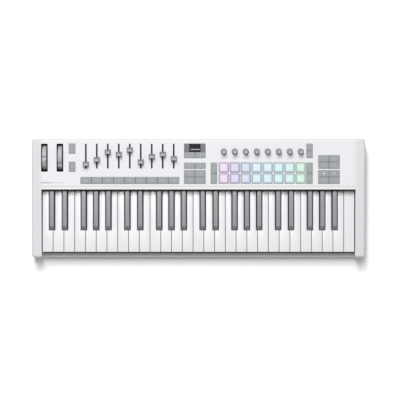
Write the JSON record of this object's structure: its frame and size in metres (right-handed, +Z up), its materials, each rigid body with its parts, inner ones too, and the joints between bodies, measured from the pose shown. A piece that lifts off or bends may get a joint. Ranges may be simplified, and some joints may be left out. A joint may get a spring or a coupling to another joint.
{
  "type": "midi keyboard",
  "caption": "Desktop MIDI controller keyboard: hinged piano keys in a wedge case, pitch and modulation wheels, sliding faders, encoders, back-lit pads and buttons.",
  "frame": {"origin": "on the table under the middle of the case", "axes": "+X towards the treble end, +Y towards the back, +Z up"},
  "size_m": [0.726, 0.259, 0.0788],
  "materials": {
    "white_shell": "fine matt off-white moulding",
    "grey_shell": "matt mid-grey moulding",
    "white_key": "semi-gloss white key plastic",
    "grey_key": "satin grey key plastic",
    "button_grey": "matt grey silicone",
    "pad_rubber": "translucent back-lit silicone",
    "cap_grey": "satin grey caps",
    "wheel_grey": "satin light grey wheel moulding",
    "window_glass": "tinted clear display window",
    "display_black": "dark display module",
    "board_green": "solder-masked printed board",
    "inner_black": "black engineering plastic",
    "felt": "dense felt, red on the stops and black along the panel edge",
    "dome_rubber": "dark silicone",
    "steel": "bright steel",
    "foot_rubber": "black rubber"
  },
  "bodies": {
    "case": {"bottom_case": "grey_shell", "top_case": "white_shell", "key_chassis": "inner_black", "key_springs": "steel", "key_stop_felts": "felt", "key_contact_board": "board_green", "key_contact_domes": "dome_rubber", "panel_board": "board_green", "fader_bodies": "steel", "encoder_bodies": "steel", "wheel_bracket": "inner_black", "display_module": "display_black", "display_window": "window_glass", "usb_socket": "steel", "midi_socket": "inner_black", "pedal_socket": "inner_black", "rubber_feet": "foot_rubber", "case_screws": "steel"},
    "pitch_wheel": {"pitch_wheel": "wheel_grey"},
    "mod_wheel": {"mod_wheel": "wheel_grey"},
    "octave_buttons": {"octave_buttons": "button_grey"},
    "fader_buttons": {"fader_buttons": "button_grey"},
    "menu_buttons": {"menu_buttons": "button_grey"},
    "mode_buttons": {"mode_buttons": "button_grey"},
    "knob_bank_buttons": {"knob_bank_buttons": "button_grey"},
    "pad_side_buttons": {"pad_side_buttons": "button_grey"},
    "transport_buttons": {"transport_buttons": "button_grey"},
    "keys_c": {"keys_c": "white_key"},
    "keys_d": {"keys_d": "white_key"},
    "keys_e": {"keys_e": "white_key"},
    "keys_f": {"keys_f": "white_key"},
    "keys_g": {"keys_g": "white_key"},
    "keys_a": {"keys_a": "white_key"},
    "keys_b": {"keys_b": "white_key"},
    "keys_c_sharp": {"keys_c_sharp": "grey_key"},
    "keys_d_sharp": {"keys_d_sharp": "grey_key"},
    "keys_f_sharp": {"keys_f_sharp": "grey_key"},
    "keys_g_sharp": {"keys_g_sharp": "grey_key"},
    "keys_a_sharp": {"keys_a_sharp": "grey_key"},
    "fader_1": {"fader_1": "cap_grey"},
    "fader_2": {"fader_2": "cap_grey"},
    "fader_3": {"fader_3": "cap_grey"},
    "fader_4": {"fader_4": "cap_grey"},
    "fader_5": {"fader_5": "cap_grey"},
    "fader_6": {"fader_6": "cap_grey"},
    "fader_7": {"fader_7": "cap_grey"},
    "fader_8": {"fader_8": "cap_grey"},
    "fader_9": {"fader_9": "cap_grey"},
    "knob_1": {"knob_1": "cap_grey"},
    "knob_2": {"knob_2": "cap_grey"},
    "knob_3": {"knob_3": "cap_grey"},
    "knob_4": {"knob_4": "cap_grey"},
    "knob_5": {"knob_5": "cap_grey"},
    "knob_6": {"knob_6": "cap_grey"},
    "knob_7": {"knob_7": "cap_grey"},
    "knob_8": {"knob_8": "cap_grey"},
    "pads_upper_odd": {"pads_upper_odd": "pad_rubber"},
    "pads_upper_even": {"pads_upper_even": "pad_rubber"},
    "pads_lower_odd": {"pads_lower_odd": "pad_rubber"},
    "pads_lower_even": {"pads_lower_even": "pad_rubber"}
  },
  "joints": [
    {"name": "keys_c_press", "type": "hinge", "parent": "case", "child": "keys_c", "pos_m": [0, 0.046, 0.036], "axis": [1, 0, 0], "range_deg": [0, 3.5], "stiffness_Nm_per_rad": 4, "springref_deg": -6.88, "deforming": ["key_springs"]},
    {"name": "keys_c_sharp_press", "type": "hinge", "parent": "case", "child": "keys_c_sharp", "pos_m": [0, 0.046, 0.036], "axis": [1, 0, 0], "range_deg": [0, 4.4], "stiffness_Nm_per_rad": 4, "springref_deg": -6.88, "deforming": ["key_springs"]},
    {"name": "pitch_wheel_turn", "type": "hinge", "parent": "case", "child": "pitch_wheel", "pos_m": [-0.3351, 0.08838, 0.04699], "axis": [1, 0, 0], "range_deg": [-35, 35], "stiffness_Nm_per_rad": 0.12},
    {"name": "mod_wheel_turn", "type": "hinge", "parent": "case", "child": "mod_wheel", "pos_m": [-0.3013, 0.08838, 0.04699], "axis": [1, 0, 0], "range_deg": [-66, 0]},
    {"name": "fader_1_slide", "type": "slide", "parent": "case", "child": "fader_1", "axis": [0, 0.999, 0.0436], "range_m": [-0.006, 0.039]},
    {"name": "knob_1_turn", "type": "hinge", "parent": "case", "child": "knob_1", "pos_m": [0.055, 0.10153, 0.06458], "axis": [0, -0.0436, 0.999], "continuous": true},
    {"name": "pads_upper_odd_press", "type": "slide", "parent": "case", "child": "pads_upper_odd", "axis": [0, 0.0436, -0.999], "range_m": [0, 0.001], "stiffness_N_per_m": 4000, "springref_m": -0.0005},
    {"name": "pads_lower_even_press", "type": "slide", "parent": "case", "child": "pads_lower_even", "axis": [0, 0.0436, -0.999], "range_m": [0, 0.001], "stiffness_N_per_m": 4000, "springref_m": -0.0005},
    {"name": "octave_buttons_press", "type": "slide", "parent": "case", "child": "octave_buttons", "axis": [0, 0.0436, -0.999], "range_m": [0, 0.0008], "stiffness_N_per_m": 2000, "springref_m": -0.0004},
    {"name": "fader_buttons_press", "type": "slide", "parent": "case", "child": "fader_buttons", "axis": [0, 0.0436, -0.999], "range_m": [0, 0.0008], "stiffness_N_per_m": 2000, "springref_m": -0.0004},
    {"name": "menu_buttons_press", "type": "slide", "parent": "case", "child": "menu_buttons", "axis": [0, 0.0436, -0.999], "range_m": [0, 0.0008], "stiffness_N_per_m": 2000, "springref_m": -0.0004},
    {"name": "mode_buttons_press", "type": "slide", "parent": "case", "child": "mode_buttons", "axis": [0, 0.0436, -0.999], "range_m": [0, 0.0008], "stiffness_N_per_m": 2000, "springref_m": -0.0004},
    {"name": "knob_bank_buttons_press", "type": "slide", "parent": "case", "child": "knob_bank_buttons", "axis": [0, 0.0436, -0.999], "range_m": [0, 0.0008], "stiffness_N_per_m": 2000, "springref_m": -0.0004},
    {"name": "pad_side_buttons_press", "type": "slide", "parent": "case", "child": "pad_side_buttons", "axis": [0, 0.0436, -0.999], "range_m": [0, 0.0008], "stiffness_N_per_m": 2000, "springref_m": -0.0004},
    {"name": "transport_buttons_press", "type": "slide", "parent": "case", "child": "transport_buttons", "axis": [0, 0.0436, -0.999], "range_m": [0, 0.0008], "stiffness_N_per_m": 2000, "springref_m": -0.0004},
    {"name": "fader_5_slide", "type": "slide", "parent": "case", "child": "fader_5", "axis": [0, 0.999, 0.0436], "range_m": [-0.0367, 0.0083]},
    {"name": "fader_6_slide", "type": "slide", "parent": "case", "child": "fader_6", "axis": [0, 0.999, 0.0436], "range_m": [-0.0107, 0.0343]},
    {"name": "keys_f_press", "type": "hinge", "parent": "case", "child": "keys_f", "pos_m": [0, 0.046, 0.036], "axis": [1, 0, 0], "range_deg": [0, 3.5], "stiffness_Nm_per_rad": 4, "springref_deg": -6.88, "deforming": ["key_springs"]},
    {"name": "keys_f_sharp_press", "type": "hinge", "parent": "case", "child": "keys_f_sharp", "pos_m": [0, 0.046, 0.036], "axis": [1, 0, 0], "range_deg": [0, 4.4], "stiffness_Nm_per_rad": 4, "springref_deg": -6.88, "deforming": ["key_springs"]},
    {"name": "keys_b_press", "type": "hinge", "parent": "case", "child": "keys_b", "pos_m": [0, 0.046, 0.036], "axis": [1, 0, 0], "range_deg": [0, 3.5], "stiffness_Nm_per_rad": 4, "springref_deg": -6.88, "deforming": ["key_springs"]},
    {"name": "pads_upper_even_press", "type": "slide", "parent": "case", "child": "pads_upper_even", "axis": [0, 0.0436, -0.999], "range_m": [0, 0.001], "stiffness_N_per_m": 4000, "springref_m": -0.0005},
    {"name": "pads_lower_odd_press", "type": "slide", "parent": "case", "child": "pads_lower_odd", "axis": [0, 0.0436, -0.999], "range_m": [0, 0.001], "stiffness_N_per_m": 4000, "springref_m": -0.0005},
    {"name": "keys_d_press", "type": "hinge", "parent": "case", "child": "keys_d", "pos_m": [0, 0.046, 0.036], "axis": [1, 0, 0], "range_deg": [0, 3.5], "stiffness_Nm_per_rad": 4, "springref_deg": -6.88, "deforming": ["key_springs"]},
    {"name": "keys_d_sharp_press", "type": "hinge", "parent": "case", "child": "keys_d_sharp", "pos_m": [0, 0.046, 0.036], "axis": [1, 0, 0], "range_deg": [0, 4.4], "stiffness_Nm_per_rad": 4, "springref_deg": -6.88, "deforming": ["key_springs"]},
    {"name": "keys_e_press", "type": "hinge", "parent": "case", "child": "keys_e", "pos_m": [0, 0.046, 0.036], "axis": [1, 0, 0], "range_deg": [0, 3.5], "stiffness_Nm_per_rad": 4, "springref_deg": -6.88, "deforming": ["key_springs"]},
    {"name": "keys_g_press", "type": "hinge", "parent": "case", "child": "keys_g", "pos_m": [0, 0.046, 0.036], "axis": [1, 0, 0], "range_deg": [0, 3.5], "stiffness_Nm_per_rad": 4, "springref_deg": -6.88, "deforming": ["key_springs"]},
    {"name": "keys_g_sharp_press", "type": "hinge", "parent": "case", "child": "keys_g_sharp", "pos_m": [0, 0.046, 0.036], "axis": [1, 0, 0], "range_deg": [0, 4.4], "stiffness_Nm_per_rad": 4, "springref_deg": -6.88, "deforming": ["key_springs"]},
    {"name": "keys_a_press", "type": "hinge", "parent": "case", "child": "keys_a", "pos_m": [0, 0.046, 0.036], "axis": [1, 0, 0], "range_deg": [0, 3.5], "stiffness_Nm_per_rad": 4, "springref_deg": -6.88, "deforming": ["key_springs"]},
    {"name": "keys_a_sharp_press", "type": "hinge", "parent": "case", "child": "keys_a_sharp", "pos_m": [0, 0.046, 0.036], "axis": [1, 0, 0], "range_deg": [0, 4.4], "stiffness_Nm_per_rad": 4, "springref_deg": -6.88, "deforming": ["key_springs"]},
    {"name": "fader_2_slide", "type": "slide", "parent": "case", "child": "fader_2", "axis": [0, 0.999, 0.0436], "range_m": [-0.0155, 0.0295]},
    {"name": "fader_3_slide", "type": "slide", "parent": "case", "child": "fader_3", "axis": [0, 0.999, 0.0436], "range_m": [-0.0321, 0.0129]},
    {"name": "fader_4_slide", "type": "slide", "parent": "case", "child": "fader_4", "axis": [0, 0.999, 0.0436], "range_m": [-0.0273, 0.0177]},
    {"name": "fader_7_slide", "type": "slide", "parent": "case", "child": "fader_7", "axis": [0, 0.999, 0.0436], "range_m": [-0.0225, 0.0225]},
    {"name": "fader_8_slide", "type": "slide", "parent": "case", "child": "fader_8", "axis": [0, 0.999, 0.0436], "range_m": [-0.0273, 0.0177]},
    {"name": "fader_9_slide", "type": "slide", "parent": "case", "child": "fader_9", "axis": [0, 0.999, 0.0436], "range_m": [-0.0179, 0.0271]},
    {"name": "knob_2_turn", "type": "hinge", "parent": "case", "child": "knob_2", "pos_m": [0.0789, 0.10153, 0.06458], "axis": [0, -0.0436, 0.999], "continuous": true},
    {"name": "knob_3_turn", "type": "hinge", "parent": "case", "child": "knob_3", "pos_m": [0.1028, 0.10153, 0.06458], "axis": [0, -0.0436, 0.999], "continuous": true},
    {"name": "knob_4_turn", "type": "hinge", "parent": "case", "child": "knob_4", "pos_m": [0.1267, 0.10153, 0.06458], "axis": [0, -0.0436, 0.999], "continuous": true},
    {"name": "knob_5_turn", "type": "hinge", "parent": "case", "child": "knob_5", "pos_m": [0.1506, 0.10153, 0.06458], "axis": [0, -0.0436, 0.999], "continuous": true},
    {"name": "knob_6_turn", "type": "hinge", "parent": "case", "child": "knob_6", "pos_m": [0.1745, 0.10153, 0.06458], "axis": [0, -0.0436, 0.999], "continuous": true},
    {"name": "knob_7_turn", "type": "hinge", "parent": "case", "child": "knob_7", "pos_m": [0.1984, 0.10153, 0.06458], "axis": [0, -0.0436, 0.999], "continuous": true},
    {"name": "knob_8_turn", "type": "hinge", "parent": "case", "child": "knob_8", "pos_m": [0.2223, 0.10153, 0.06458], "axis": [0, -0.0436, 0.999], "continuous": true}
  ]
}
